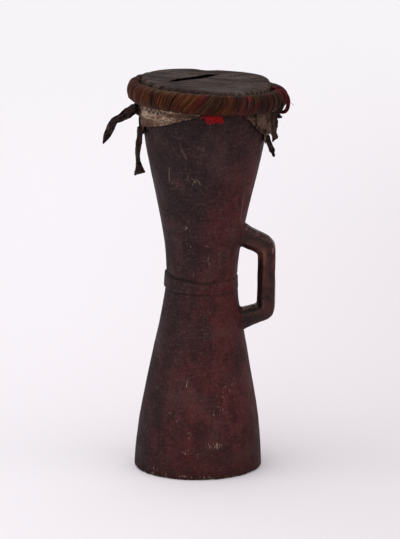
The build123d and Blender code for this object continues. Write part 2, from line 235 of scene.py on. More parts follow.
def to_drum(points):
    """Metres in the row frame, as millimetres about the drum's own axis."""
    return tilted(np.asarray(points, float) * 1000, -LEAN)


def around(azimuth, radius, height):
    """Points at azimuths, distances from the axis and heights."""
    angle = np.radians(azimuth)
    return np.column_stack(np.broadcast_arrays(radius * np.cos(angle), radius * np.sin(angle), height))


def on_hoop(points):
    """Move points drawn about the hoop's own axis to the hoop's place under the rim."""
    points = tilted(points, HOOP_SLANT)
    points[:, 2] = points[:, 2] + BODY_HEIGHT - HOOP_DROP
    return points


def off_turn(azimuth, middle):
    """Angle from a middle azimuth, between -180 and 180."""
    return (azimuth - middle + 180) % 360 - 180


def hump(value, middle, spread):
    """Rounded hump of 1 at the middle, fading with the spread."""
    return np.exp(-((value - middle) / spread) ** 2)


def ease(value, low, high):
    """Smooth step from 0 at low to 1 at high."""
    share = np.clip((np.asarray(value, float) - low) / (high - low), 0, 1)
    return share * share * (3 - 2 * share)


def rough(points, size, seed, octaves=3):
    """Smooth noise of about -1 to 1 at each point, with a grain of that size."""
    shift = Vector((seed * 7.31, seed * 3.17, seed * 5.73))
    grain = np.broadcast_to(np.asarray(size, float), (3,))
    scaled = np.asarray(points, float).reshape(-1, 3) / grain
    return np.array([noise.fractal(Vector(point) + shift, 1.0, 2.0, octaves) for point in scaled])


def wander(values, seed):
    """Smooth one-way noise of about -1 to 1."""
    values = np.asarray(values, float)
    heights = [noise.noise(Vector((value, seed * 3.7, seed * 1.9))) for value in values.ravel()]
    return np.array(heights).reshape(values.shape)


def linked(name, data):
    """New object in the scene."""
    made = bpy.data.objects.new(name, data)
    bpy.context.collection.objects.link(made)
    return made


def final_mesh(made):
    """Mesh that an object's modifiers give. The object itself goes."""
    mesh = bpy.data.meshes.new_from_object(made.evaluated_get(bpy.context.evaluated_depsgraph_get()))
    bpy.data.objects.remove(made)
    return mesh


def read(items, label, kind, width=1):
    """Values of a mesh's points, edges, faces or corners."""
    values = np.empty(len(items) * width, kind)
    items.foreach_get(label, values)
    return values


def finish_mesh(mesh, materials, paint=None):
    """Smooth shading, materials, and the values or colours painted on the points."""
    mesh.polygons.foreach_set("use_smooth", [True] * len(mesh.polygons))
    mesh.materials.clear()
    for material in materials:
        mesh.materials.append(material)
    for label, values in (paint or {}).items():
        values = np.asarray(values, np.float32)
        if values.ndim == 1:
            mesh.attributes.new(label, "FLOAT", "POINT").data.foreach_set("value", values)
        else:
            rgba = np.column_stack([values, np.ones(len(values))]).astype(np.float32)
            mesh.attributes.new(label, "FLOAT_COLOR", "POINT").data.foreach_set("color", rgba.ravel())


def piece(name, points, faces, material, body="drum", nodes=(), paint=None, uv=None, solid=0.0):
    """Smooth mesh object from points about the drum's axis, riding on a body."""
    mesh = bpy.data.meshes.new(name)
    mesh.from_pydata([tuple(point) for point in to_row(points)], [], [tuple(face) for face in faces])
    finish_mesh(mesh, [material], paint)
    if uv is not None:
        corners = read(mesh.loops, "vertex_index", np.int32)
        mesh.uv_layers.new(name="along").data.foreach_set("uv", np.asarray(uv, np.float32)[corners].ravel())
    made = linked(name, mesh)
    if solid:
        walls = made.modifiers.new("thickness", "SOLIDIFY")
        walls.thickness = solid / 1000
        walls.offset = -1
    if nodes:
        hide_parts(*nodes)
    if body:
        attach(made, body)
    return made


def grid_faces(columns, rows, closed=False, ring=False):
    """Quads of a grid stored column by column: closed joins its last column to the first, ring its last row."""
    faces = []
    for column in range(columns if closed else columns - 1):
        near = column * rows
        far = (column + 1) % columns * rows
        for row in range(rows if ring else rows - 1):
            after = (row + 1) % rows
            faces.append((near + row, near + after, far + after, far + row))
    return faces


def through(a, b, c, d, share):
    """Value a share of the way from b to c, on a smooth line through all four."""
    return 0.5 * (2 * b + (c - a) * share + (2 * a - 5 * b + 4 * c - d) * share ** 2
                  + (3 * b - a - 3 * c + d) * share ** 3)


def smooth_path(places, steps):
    """Values along a smooth line through the places, as many steps between each two."""
    places = np.asarray(places, float)
    ends = np.vstack([2 * places[0] - places[1], places, 2 * places[-1] - places[-2]])
    rows = []
    for index in range(1, len(ends) - 2):
        rows += [through(*ends[index - 1:index + 3], share) for share in np.arange(steps) / steps]
    rows.append(places[-1])
    return np.array(rows)


# Materials


class Paint:
    """A node material whose nodes are added with their inputs in one call."""

    def __init__(self, name, **values):
        self.material = bpy.data.materials.new(name)
        self.material.use_nodes = True
        self.tree = self.material.node_tree
        self.shader = self.tree.nodes["Principled BSDF"]
        self.place = self.add("ShaderNodeTexCoord").outputs["Object"]
        for label, value in values.items():
            self.shader.inputs[label.replace("_", " ")].default_value = value

    def add(self, kind, inputs=None, **settings):
        node = self.tree.nodes.new(kind)
        for label, value in settings.items():
            setattr(node, label, value)
        for socket, value in (inputs or {}).items():
            if isinstance(value, bpy.types.NodeSocket):
                self.tree.links.new(value, node.inputs[socket])
            else:
                node.inputs[socket].default_value = value
        return node

    def scaled(self, scale, turn=(0, 0, 0), vector=None):
        inputs = {"Vector": vector or self.place, "Scale": scale, "Rotation": turn}
        return self.add("ShaderNodeMapping", inputs).outputs["Vector"]

    def noise(self, scale, detail=4.0, vector=None, distortion=0.0):
        inputs = {"Vector": vector or self.place, "Scale": scale, "Detail": detail, "Distortion": distortion}
        return self.add("ShaderNodeTexNoise", inputs).outputs["Fac"]

    def cells(self, scale, feature="F1", vector=None):
        inputs = {"Vector": vector or self.place, "Scale": scale}
        return self.add("ShaderNodeTexVoronoi", inputs, feature=feature).outputs["Distance"]

    def step(self, value, low, high, floor=0.0, roof=1.0):
        inputs = {"Value": value, "From Min": low, "From Max": high, "To Min": floor, "To Max": roof}
        return self.add("ShaderNodeMapRange", inputs, interpolation_type="SMOOTHSTEP").outputs["Result"]

    def maths(self, operation, first, second=0.0, third=0.0):
        inputs = {0: first, 1: second, 2: third}
        return self.add("ShaderNodeMath", inputs, operation=operation).outputs["Value"]

    def mix(self, share, first, second, blend="MIX"):
        def colour(value):
            return (*value, 1.0) if isinstance(value, tuple) else value
        inputs = {0: share, 6: colour(first), 7: colour(second)}
        return self.add("ShaderNodeMix", inputs, data_type="RGBA", blend_type=blend).outputs[2]

    def over(self, colour, tone, value, low, high, most=1.0):
        """Lay a tone over a colour where a value rises from low to high."""
        return self.mix(self.step(value, low, high, 0.0, most), colour, tone)

    def layers(self, colour, tones):
        for tone in tones:
            colour = self.over(colour, *tone)
        return colour

    def painted(self, label, output="Fac"):
        return self.add("ShaderNodeAttribute", attribute_name=label).outputs[output]

    def bumps(self, height, strength, distance):
        inputs = {"Height": height, "Strength": strength, "Distance": distance}
        return self.add("ShaderNodeBump", inputs).outputs["Normal"]

    def finish(self, colour, roughness=None, normal=None):
        self.tree.links.new(colour, self.shader.inputs["Base Color"])
        if roughness is not None:
            self.tree.links.new(roughness, self.shader.inputs["Roughness"])
        if normal is not None:
            self.tree.links.new(normal, self.shader.inputs["Normal"])
        return self.material


def wood_paint(name, gloss, dullness):
    paint = Paint(name, Specular_IOR_Level=gloss)
    axes = paint.add("ShaderNodeSeparateXYZ", {"Vector": paint.place}).outputs
    # Greyer and darker towards the left, redder to the right: the grey stands for the sheen and edge shade down
    # the left side, painted over the red-brown paint; less red towards the top
    side = paint.maths("ADD", axes["X"], paint.maths("MULTIPLY_ADD", axes["Z"], -0.27, 0.074))
    side = paint.maths("ADD", side, paint.maths("MULTIPLY_ADD", paint.noise(14.0, 3.0), 0.10, -0.05))
    upper = paint.step(axes["Z"], 0.39, 0.48, 1.0, 0.4)
    red = paint.maths("MULTIPLY", paint.step(side, -0.035, 0.045), upper)
    grain = paint.noise(1.0, 6.0, paint.scaled((130, 130, 26)))
    cross = paint.noise(1.0, 4.0, paint.scaled((60, 60, 420)))
    fine = paint.noise(310.0, 6.0)
    mottle = paint.noise(48.0, 6.0, distortion=0.6)
    bands = paint.noise(1.0, 3.0, paint.scaled((30, 30, 8)), distortion=0.4)
    colour = paint.mix(red, (0.0240, 0.0136, 0.0146), (0.0675, 0.0157, 0.0162))
    colour = paint.layers(colour, [
        ((0.015, 0.0072, 0.0076), mottle, 0.4, 0.7, 0.55),
        ((0.068, 0.030, 0.029), paint.noise(17.0, 4.0, distortion=0.5), 0.5, 0.7, 0.5),
        ((0.020, 0.009, 0.009), grain, 0.5, 0.74, 0.4),
        ((0.019, 0.0100, 0.0110), bands, 0.5, 0.66, 0.5),
        ((0.115, 0.070, 0.064), fine, 0.54, 0.72, 0.3),
        ((0.095, 0.058, 0.054), cross, 0.56, 0.72, 0.28),
        ((0.009, 0.0045, 0.0045), fine, 0.46, 0.28, 0.62),
    ])
    handled = paint.over((0.037, 0.0140, 0.0120), (0.012, 0.0055, 0.0050), mottle, 0.38, 0.6)
    colour = paint.mix(paint.maths("MULTIPLY", paint.painted("polish"), 0.75), colour, handled)
    # Wear colour, which also paints the highlight along the handle's lit outer edge
    worn = paint.maths("MULTIPLY", paint.painted("worn"), paint.step(paint.noise(120.0, 5.0), 0.32, 0.62))
    colour = paint.mix(worn, colour, (0.125, 0.047, 0.030))
    # Painted shade in the hollows, along the collar's lines and on the hand gap's bevel, and darker towards the
    # foot
    colour = paint.mix(paint.painted("shade_and_dark_foot"), colour, (0.007, 0.0035, 0.0035))
    # Pale scratches and chips, with the painted glints on the handle
    broken = paint.step(paint.noise(700.0, 2.0), 0.3, 0.55, 0.2, 1.0)
    colour = paint.mix(paint.maths("MULTIPLY", paint.painted("mark_and_glint"), broken), colour, BARE_WOOD_AND_GLINT)
    strokes = paint.noise(1.0, 2.0, paint.scaled((620, 620, 230), (math.radians(12), 0, 0)))
    strokes = paint.maths("ADD", strokes, paint.maths("MULTIPLY", paint.painted("nicked"), 0.27))
    colour = paint.over(colour, BARE_WOOD_AND_GLINT, strokes, 0.745, 0.84, 0.62)
    height = paint.maths("ADD", paint.maths("MULTIPLY", fine, 0.9), paint.maths("MULTIPLY", cross, 0.35))
    rough_share = paint.step(paint.noise(26.0, 4.0), 0.3, 0.7, dullness - 0.1, dullness + 0.1)
    return paint.finish(colour, rough_share, paint.bumps(height, 0.5, 0.0006))


def hide_paint():
    paint = Paint("drum_hide", Specular_IOR_Level=0.05)
    streak = paint.noise(1.0, 6.0, paint.scaled((16, 150, 16), (0, 0, math.radians(-20))))
    patch = paint.noise(28.0, 4.0)
    scales = paint.cells(430.0)
    top = paint.layers((0.013, 0.0073, 0.0058), [
        ((0.086, 0.055, 0.046), streak, 0.42, 0.6),
        ((0.090, 0.055, 0.046), paint.noise(170.0, 5.0), 0.46, 0.62, 0.5),
        ((0.013, 0.0075, 0.006), scales, 0.35, 0.65, 0.65),
        ((0.030, 0.019, 0.016), patch, 0.5, 0.75, 0.45),
    ])
    top = paint.mix(paint.painted("pale"), top, (0.17, 0.12, 0.095))
    slope = (math.radians(8), math.radians(10), 0)
    fold = paint.noise(1.0, 4.0, paint.scaled((24, 24, 130), slope), distortion=0.7)
    side = paint.layers((0.17, 0.090, 0.056), [
        ((0.66, 0.47, 0.34), fold, 0.36, 0.62),
        ((0.10, 0.052, 0.036), patch, 0.54, 0.72, 0.65),
    ])
    side = paint.mix(paint.painted("shade"), side, (0.075, 0.042, 0.027))
    side = paint.mix(paint.painted("stain"), side, (0.085, 0.026, 0.018))
    side = paint.over(side, (0.045, 0.025, 0.017), scales, 0.3, 0.6, 0.7)
    colour = paint.mix(paint.painted("under"), top, side)
    height = paint.maths("SUBTRACT", paint.maths("MULTIPLY", streak, 0.7), paint.maths("MULTIPLY", scales, 0.45))
    return paint.finish(colour, paint.step(patch, 0.3, 0.7, 0.5, 0.72), paint.bumps(height, 0.6, 0.0007))


def strip_paint():
    paint = Paint("bound_strips", Specular_IOR_Level=0.05)
    lengths = paint.add("ShaderNodeUVMap", uv_map="along").outputs["UV"]
    fibre = paint.noise(1.0, 6.0, paint.scaled((22, 0.7, 1), vector=lengths))
    strand = paint.noise(1.0, 3.0, paint.scaled((6, 0.35, 1), vector=lengths))
    tone = paint.painted("tone", "Color")
    contrast = paint.over((0.3, 0.27, 0.25), (1.75, 1.65, 1.5), fibre, 0.38, 0.62)
    dark = paint.mix(1.0, tone, (0.24, 0.2, 0.19), "MULTIPLY")
    colour = paint.over(paint.mix(1.0, tone, contrast, "MULTIPLY"), dark, strand, 0.44, 0.6, 0.85)
    glint = paint.maths("MULTIPLY", paint.step(fibre, 0.6, 0.75), paint.step(paint.noise(60.0, 3.0), 0.45, 0.65))
    colour = paint.mix(paint.maths("MULTIPLY", glint, 0.6), colour, (0.22, 0.120, 0.066))
    # Painted shadow between the turns, from the edge values
    colour = paint.mix(paint.painted("edge"), colour, (0.004, 0.0025, 0.002))
    height = paint.maths("ADD", fibre, paint.maths("MULTIPLY", strand, 0.6))
    return paint.finish(colour, paint.step(fibre, 0.2, 0.8, 0.38, 0.62), paint.bumps(height, 0.9, 0.0016))


def dried_paint(name, dark, light):
    def shade(share):
        return tuple(value * share for value in dark)

    paint = Paint(name, Specular_IOR_Level=0.03)
    lengths = paint.add("ShaderNodeUVMap", uv_map="along").outputs["UV"]
    crease = paint.noise(1.0, 5.0, paint.scaled((9, 1.4, 1), vector=lengths))
    patch = paint.noise(75.0, 4.0)
    scales = paint.cells(620.0)
    colour = paint.layers(dark, [
        (light, crease, 0.4, 0.62),
        (shade(0.45), patch, 0.47, 0.62, 0.8),
        (shade(0.5), scales, 0.35, 0.8, 0.4),
    ])
    # Painted shade from the crease values: strip edges, grooves and the flap's folds
    colour = paint.mix(paint.painted("crease"), colour, shade(0.3))
    height = paint.maths("SUBTRACT", crease, paint.maths("MULTIPLY", scales, 0.5))
    return paint.finish(colour, paint.step(patch, 0.3, 0.7, 0.5, 0.75), paint.bumps(height, 0.7, 0.0008))


def ply_paint(name, gloss, grain, low, dark, light, dullness):
    paint = Paint(name, Specular_IOR_Level=gloss)
    ply = paint.noise(grain, 3.0)
    rough_share = paint.step(ply, 0.3, 0.7, dullness, dullness + 0.2)
    return paint.finish(paint.over(dark, light, ply, low, 0.7), rough_share, paint.bumps(ply, 0.5, 0.0004))


def cane_paint():
    paint = Paint("hoop_cane", Specular_IOR_Level=0.35)
    fibre = paint.noise(1.0, 5.0, paint.scaled((60, 60, 700)))
    colour = paint.over((0.13, 0.075, 0.035), (0.30, 0.19, 0.09), fibre, 0.35, 0.65)
    return paint.finish(colour, paint.step(fibre, 0.3, 0.7, 0.4, 0.6), paint.bumps(fibre, 0.4, 0.0005))


def floor_paint():
    paint = Paint("pale_floor", Roughness=0.9, Specular_IOR_Level=0.0)
    axes = paint.add("ShaderNodeSeparateXYZ", {"Vector": paint.place}).outputs
    # Painted light falloff: near the drum the floor is lighter at the left and darker at the right; far behind it
    # evens out
    near = paint.over((0.93, 0.885, 0.92), (0.77, 0.715, 0.745), axes["X"], -0.3, 0.8)
    return paint.finish(paint.over(near, (0.90, 0.88, 0.905), axes["Y"], 0.4, 3.8))


# Wood


def shell_radii():
    """Radius of the wood by height, without the collar."""
    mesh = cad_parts["drum_shell"].data
    tree = BVHTree.FromPolygons([v.co for v in mesh.vertices], [p.vertices for p in mesh.polygons])
    heights = [height for height in np.arange(2.0, 537.0, 3.0) if not 250 < height < 274]
    starts = to_row([(0, 200, height) for height in heights])
    radii = [tree.ray_cast(Vector(start), Vector((0, -1, 0)))[0].y * 1000 for start in starts]
    return np.array(heights), np.array(radii)


HEIGHTS, RADII = shell_radii()


def radius_at(height):
    return np.interp(height, HEIGHTS, RADII)


def mark_wood(azimuth, height):
    """How strongly scratches show at each point of the wood, and how thick the nicks lie."""
    scratches = np.zeros(len(azimuth))
    for start, end in SCRATCHES:
        scale = math.radians(1) * float(radius_at((start[1] + end[1]) / 2))
        run = np.array([(end[0] - start[0]) * scale, end[1] - start[1]])
        x = off_turn(azimuth, start[0]) * scale
        y = height - start[1]
        share = np.clip((x * run[0] + y * run[1]) / (run @ run), 0, 1)
        apart = np.hypot(x - share * run[0], y - share * run[1])
        strength = 0.2 + 0.01 * min(abs(run[1]), 22)
        scratches = np.maximum(scratches, strength * (1 - ease(apart, 0.3, 1.0)))
    nicks = np.zeros(len(azimuth))
    for turn, level, wide, tall, strength in NICKS:
        off = off_turn(azimuth, turn) / wide
        nicks = np.maximum(nicks, strength * np.exp(-off ** 2 - ((height - level) / tall) ** 2))
    return scratches, nicks


def line_distance(points, line):
    """Distance of flat points from a line through the given places."""
    nearest = np.full(len(points), 1e9)
    for start, end in zip(np.array(line[:-1]), np.array(line[1:])):
        run = end - start
        share = np.clip((points - start) @ run / (run @ run), 0, 1)
        nearest = np.minimum(nearest, np.linalg.norm(points - start - share[:, None] * run, axis=1))
    return nearest


def carved_log():
    """Fine, even mesh of the log with its edges eased."""
    bm = bmesh.new()
    bm.from_mesh(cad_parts["drum_shell"].data)
    bmesh.ops.remove_doubles(bm, verts=bm.verts, dist=1e-6)
    block_mesh = bpy.data.meshes.new("block")
    bm.to_mesh(block_mesh)
    bm.free()
    block = linked("block", block_mesh)
    voxels = block.modifiers.new("voxels", "REMESH")
    voxels.mode = "VOXEL"
    voxels.voxel_size = 0.0016
    calm = block.modifiers.new("calm", "SMOOTH")
    calm.factor = 0.5
    calm.iterations = 4
    return final_mesh(block)


def carved_shell():
    """The carved log, eased and worn: facets left by the blade, an uneven collar and a chipped foot."""
    mesh = carved_log()
    count = len(mesh.vertices)
    points = to_drum(read(mesh.vertices, "co", np.float32, 3))
    edges = read(mesh.edges, "vertices", np.int32, 2)
    starts, ends = edges.reshape(-1, 2).T
    degree = np.bincount(edges, minlength=count)

    def shared(values):
        """Mean of each point's neighbours."""
        total = np.bincount(starts, values[ends], count) + np.bincount(ends, values[starts], count)
        return total / np.maximum(degree, 1)

    def neighbours():
        return np.column_stack([shared(points[:, axis]) for axis in range(3)])

    # Bevels cut along the handle, deeper on the side of the hand gap
    angle = math.radians(HANDLE_AZIMUTH)
    plane = np.array([math.cos(angle), math.sin(angle)])
    forth = points[:, :2] @ plane
    aside = points[:, 1] * plane[0] - points[:, 0] * plane[1]
    side_view = np.column_stack([forth, points[:, 2]])
    to_gap = line_distance(side_view, GAP_LINE)
    to_outside = line_distance(side_view, OUTER_LINE)
    slim = np.maximum(0.8 * np.maximum(GAP_BEVEL - to_gap, 0), 0.9 * np.maximum(OUTER_BEVEL - to_outside, 0))
    wall = radius_at(points[:, 2])
    on_handle = ease(np.hypot(points[:, 0], points[:, 1]), wall + 2, wall + 7)
    on_handle *= (forth > 0) * (np.abs(aside) < HANDLE_SIDE)
    on_handle *= (points[:, 2] > HANDLE_SPAN[0]) * (points[:, 2] < HANDLE_SPAN[1])
    cut = np.maximum(np.abs(aside) - HANDLE_WIDTH / 2 + slim, 0) * on_handle * np.sign(aside)
    points[:, 0] += cut * plane[1]
    points[:, 1] -= cut * plane[0]
    for _ in range(4):
        points += (neighbours() - points) * 0.5 * on_handle[:, None]
    mesh.vertices.foreach_set("co", to_row(points).astype(np.float32).ravel())
    mesh.update()
    normals = read(mesh.vertices, "normal", np.float32, 3).reshape(-1, 3).astype(float)
    sharp = np.einsum("ij,ij->i", points - neighbours(), normals)
    for _ in range(3):
        sharp = shared(sharp)

    radius = np.hypot(points[:, 0], points[:, 1])
    azimuth = np.degrees(np.arctan2(points[:, 1], points[:, 0])) % 360
    height = points[:, 2]
    wall = radius_at(height)
    outside = ease(radius, wall - 8, wall - 3)
    covered = ease(height, 440, 480)

    # Long flats left by the blade, kept shallow under the hide
    shape = 0.55 * rough(points, (26, 26, 70), 1, 2) - 0.25
    shape += 0.16 * rough(points, (7, 7, 16), 2, 2)
    shape = np.where(covered > 0, np.minimum(shape, 0), shape) * (1 - 0.7 * covered)
    shape += on_handle * (0.7 * rough(points, (13, 13, 26), 9, 2) - 0.1)
    # Chips along the foot
    chip = ease(rough(points, 8, 3, 3), 0.12, 0.5) * outside * (1 - ease(height, 2, 8))
    shape -= 2.2 * chip
    moved = points + normals * (shape * (0.25 + 0.75 * outside))[:, None]
    # Collar, wider at the left, its upper lip cut under towards the front
    top = np.interp(azimuth, *zip(*COLLAR_TOP)) + 0.7 * wander(azimuth / 14, 5)
    at_waist = (1 - on_handle) * ease(radius, wall - 6, wall - 4) * (1 - ease(radius, wall + 4, wall + 6))
    at_waist *= ease(height, 242, 248) * (1 - ease(height, 281, 287))
    proud = 0.35 + 1.4 * hump(azimuth, 180, 34) + 0.4 * wander(azimuth / 20, 7)
    band = ease(height, COLLAR_FOOT - 1.5, COLLAR_FOOT + 1.5) * (1 - ease(height, top - 1, top + 0.6))
    lip = hump(height - top, 1.8, 1.5) * (1 - 0.8 * ease(azimuth, 285, 305) * (azimuth < 340))
    foot_line = hump(height - COLLAR_FOOT, -1.5, 1.4)
    target = wall + proud * band - 1.5 * lip - 0.5 * foot_line + 0.25 * rough(points, 14, 6, 2)
    pull = np.where(at_waist > 0, at_waist * (target - radius), 0)
    moved[:, 0] += pull * points[:, 0] / np.maximum(radius, 1)
    moved[:, 1] += pull * points[:, 1] / np.maximum(radius, 1)
    moved[:, 2] = np.maximum(moved[:, 2], moved[:, 0] * math.tan(LEAN))
    mesh.vertices.foreach_set("co", to_row(moved).astype(np.float32).ravel())

    # Wear on the handle's ridges with a painted highlight on its lit edge, painted shade in the hollows, and pale
    # marks with painted glints
    ridge = hump(to_gap - GAP_BEVEL, 0.5, 1.8) * ease(rough(points, (5, 5, 14), 10, 3), -0.25, 0.35)
    corner = hump(np.hypot(forth - GAP_LINE[1][0] - 4, height - GAP_LINE[1][1] - 3), 0, 10)
    # Painted highlight along the upper arm's lit outer edge, laid into the wear with the ridges, the inner corner
    # and the chips
    lit_edge = (1 - ease(to_outside, 3, 7)) * ease(height, 262, 300)
    lit_edge = lit_edge * ease(rough(points, (6, 6, 18), 13, 3), -0.4, 0.3)
    worn = np.clip(on_handle * (0.75 * ridge + 0.8 * corner + 0.4 * lit_edge) + 0.6 * chip, 0, 1)
    bare = outside * (1 - on_handle) * (1 - covered)
    marks_and_glints, nicks = (values * bare for values in mark_wood(azimuth, height))
    # Painted shade: darker in the hollows, along the collar's undercut lip and foot line, and on the hand gap's
    # bevel that faces the body; also darker towards the foot
    gap_shade = (1 - ease(to_gap, GAP_BEVEL - 4, GAP_BEVEL)) * (1 - 0.8 * corner)
    shade_and_dark_foot = 0.75 * ease(-sharp, 0.02, 0.12) * outside + at_waist * (0.6 * lip + 0.35 * foot_line)
    shade_and_dark_foot = shade_and_dark_foot + 0.72 * on_handle * gap_shade
    low = 0.2 * (1 - ease(height, 20, 80)) + 0.3 * (1 - ease(height, 3, 15))
    shade_and_dark_foot = np.clip(shade_and_dark_foot + outside * low, 0, 0.95)
    # Painted glints: pale spots on the upper arm's outer edge and along the lower arm's top edge in the hand gap,
    # laid into the marks
    glints = ease(rough(points, (2.5, 2.5, 9), 14, 2), 0.3, 0.5) * on_handle * (1 - ease(to_outside, 4, 7))
    glints = glints * ease(height, 285, 315)
    in_gap = on_handle * (1 - ease(to_gap, 2.5, 4.5)) * (height < 238)
    glints += in_gap * ease(rough(points, (5, 2.5, 2.5), 15, 2), 0.1, 0.35)
    marks_and_glints = np.maximum(marks_and_glints, 0.45 * glints)
    marks_and_glints = np.maximum(marks_and_glints, 0.55 * chip * ease(rough(points, 4, 8, 2), 0.0, 0.3))
    finish_mesh(mesh, [wood_paint("carved_wood", 0.06, 0.6), wood_paint("handled_wood", 0.14, 0.3)], {
        "worn": worn, "mark_and_glint": marks_and_glints, "nicked": nicks, "polish": on_handle, "shade_and_dark_foot": shade_and_dark_foot,
    })
    mesh.update()
    corners = read(mesh.loops, "vertex_index", np.int32)[read(mesh.polygons, "loop_start", np.int32)]
    mesh.polygons.foreach_set("material_index", (on_handle[corners] > 0.6).astype(np.int32))
    made = linked("carved_shell", mesh)
    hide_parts("drum_shell")
    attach(made, "drum")
    return made


# Hide


def hem_depth(azimuth):
    """Depth of the torn hem below the rim."""
    x = HEM_RADIUS * np.cos(np.radians(azimuth))
    front = np.interp(x, *zip(*FRONT_HEM))
    back = np.interp(x, *zip(*BACK_HEM))
    depth = np.where(np.sin(np.radians(azimuth)) < 0, front, back)
    return depth + 1.6 * wander(azimuth / 3.1, 11) + 1.0 * wander(azimuth / 1.1, 12)


def tear_gap(along):
    """Half the width of the tear at shares of its length, widest towards its right end."""
    return TEAR_WIDTH / 2 * np.sin(math.pi * along ** 1.5) ** 0.75 + 0.2


def tear_bend(along):
    """How far the tear wanders to its side at distances along it."""
    return 1.3 * wander(along / 16, 27) * (1 - (along * 2 / TEAR_LENGTH) ** 2)


def tear_place(x, y):
    """Distances along and across the tear."""
    dx = x - TEAR_CENTRE[0]
    dy = y - TEAR_CENTRE[1]
    along = dx * math.cos(TEAR_ANGLE) + dy * math.sin(TEAR_ANGLE)
    return along, dy * math.cos(TEAR_ANGLE) - dx * math.sin(TEAR_ANGLE)


def rim_lift(azimuth):
    """Height by which the stretched edge stands above or below its plane."""
    back = 2.6 * hump(azimuth, 46, 26) - 1.5 * hump(azimuth, 90, 8)
    return back + 5.2 * hump(off_turn(azimuth, 0), 14, 26)


def head_height(x, y):
    """Height of the stretched head, with its lips beside the tear."""
    plane = BODY_HEIGHT + SKIN_GROWTH - x * RIM_SLOPE
    reach = np.hypot(x, y) / (RIM_RADIUS - SKIN_ROUND)
    along, across = tear_place(x, y)
    near = ease(TEAR_LENGTH / 2 - np.abs(along), 0, 26)
    lips = np.where(across > 0, 2.3 * np.exp(-across / 7), -1.1 * np.exp(across / 9)) * near
    points = np.column_stack([x, y, np.zeros_like(x)])
    waves = 0.5 * rough(points, (60, 14, 10), 21, 3) + 0.25 * rough(points, 6, 22, 2)
    inner = 1 - ease(reach, 0.9, 1.0)
    edge = rim_lift(np.degrees(np.arctan2(y, x)) % 360) * ease(reach, 0.6, 1.0)
    return plane + edge + (lips + waves - 1.2 * (1 - reach ** 2)) * inner


